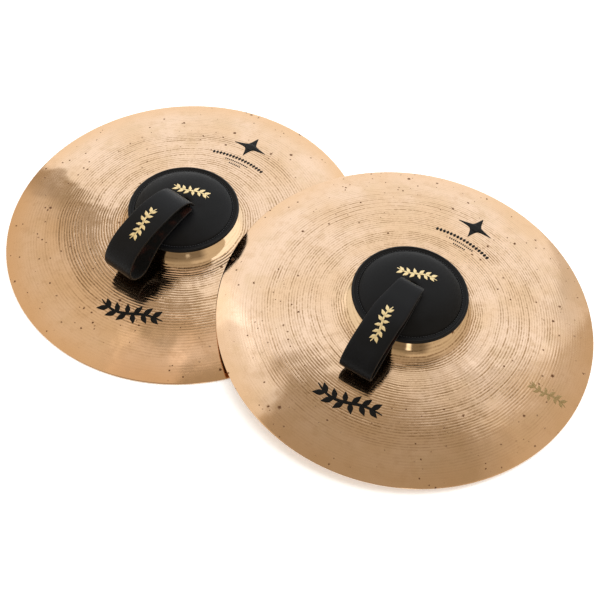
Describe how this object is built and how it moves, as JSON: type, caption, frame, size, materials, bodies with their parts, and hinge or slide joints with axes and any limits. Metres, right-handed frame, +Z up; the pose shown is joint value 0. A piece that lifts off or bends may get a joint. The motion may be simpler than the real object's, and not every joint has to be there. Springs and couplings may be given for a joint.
{
  "type": "hand cymbals",
  "caption": "Pair of domed bronze hand cymbals with round leather pads and knotted leather hand straps, one lying flat and the other leaning on its bell.",
  "frame": {"origin": "on the surface that the pair stands on, below the middle of the pair's bounding box", "axes": "+Z up; +X from the lower cymbal's axis to the upper cymbal's; +Y completes the right-handed frame, and both straps are laid towards -Y"},
  "size_m": [0.6775, 0.4064, 0.0777],
  "materials": {
    "bronze": "lathed and hammered, lacquered",
    "pad_leather": "smooth satin",
    "piping_leather": "smooth satin",
    "felt": "dense felt",
    "thread": "waxed thread",
    "strap_leather": "smooth satin, raw brown edges"
  },
  "bodies": {
    "lower_plate": {"lower_cymbal": "bronze"},
    "lower_pad": {"lower_pad_top_cover": "pad_leather", "lower_pad_bottom_cover": "pad_leather", "lower_pad_filling": "felt", "lower_pad_piping": "piping_leather", "lower_pad_stitching": "thread"},
    "lower_strap": {"lower_strap_tails": "strap_leather", "lower_strap_knot": "strap_leather"},
    "lower_loop": {"lower_strap_loop": "strap_leather"},
    "upper_plate": {"upper_cymbal": "bronze"},
    "upper_pad": {"upper_pad_top_cover": "pad_leather", "upper_pad_bottom_cover": "pad_leather", "upper_pad_filling": "felt", "upper_pad_piping": "piping_leather", "upper_pad_stitching": "thread"},
    "upper_strap": {"upper_strap_tails": "strap_leather", "upper_strap_knot": "strap_leather"},
    "upper_loop": {"upper_strap_loop": "strap_leather"}
  },
  "joints": [
    {"name": "upper_cymbal_lift", "type": "slide", "parent": "lower_plate", "child": "upper_plate", "axis": [0, 0, 1], "range_m": [0, 0.25]},
    {"name": "lower_pad_turn", "type": "hinge", "parent": "lower_plate", "child": "lower_pad", "pos_m": [-0.13553, 0, 0], "axis": [0, 0, 1], "continuous": true},
    {"name": "lower_strap_turn", "type": "hinge", "parent": "lower_plate", "child": "lower_strap", "pos_m": [-0.13553, 0, 0], "axis": [0, 0, 1], "range_deg": [-200, 45]},
    {"name": "lower_loop_swing", "type": "hinge", "parent": "lower_strap", "child": "lower_loop", "pos_m": [-0.13553, 0, 0.0566], "axis": [-0.9789, 0.2045, 0], "range_deg": [0, 105]},
    {"name": "upper_pad_turn", "type": "hinge", "parent": "upper_plate", "child": "upper_pad", "pos_m": [0.13577, 0, 0.00978], "axis": [0.0481, 0, 0.9988], "continuous": true},
    {"name": "upper_strap_turn", "type": "hinge", "parent": "upper_plate", "child": "upper_strap", "pos_m": [0.13577, 0, 0.00978], "axis": [0.0481, 0, 0.9988], "continuous": true},
    {"name": "upper_loop_swing", "type": "hinge", "parent": "upper_strap", "child": "upper_loop", "pos_m": [0.13849, 0, 0.06631], "axis": [-0.9918, 0.1184, 0.0478], "range_deg": [0, 105]}
  ]
}
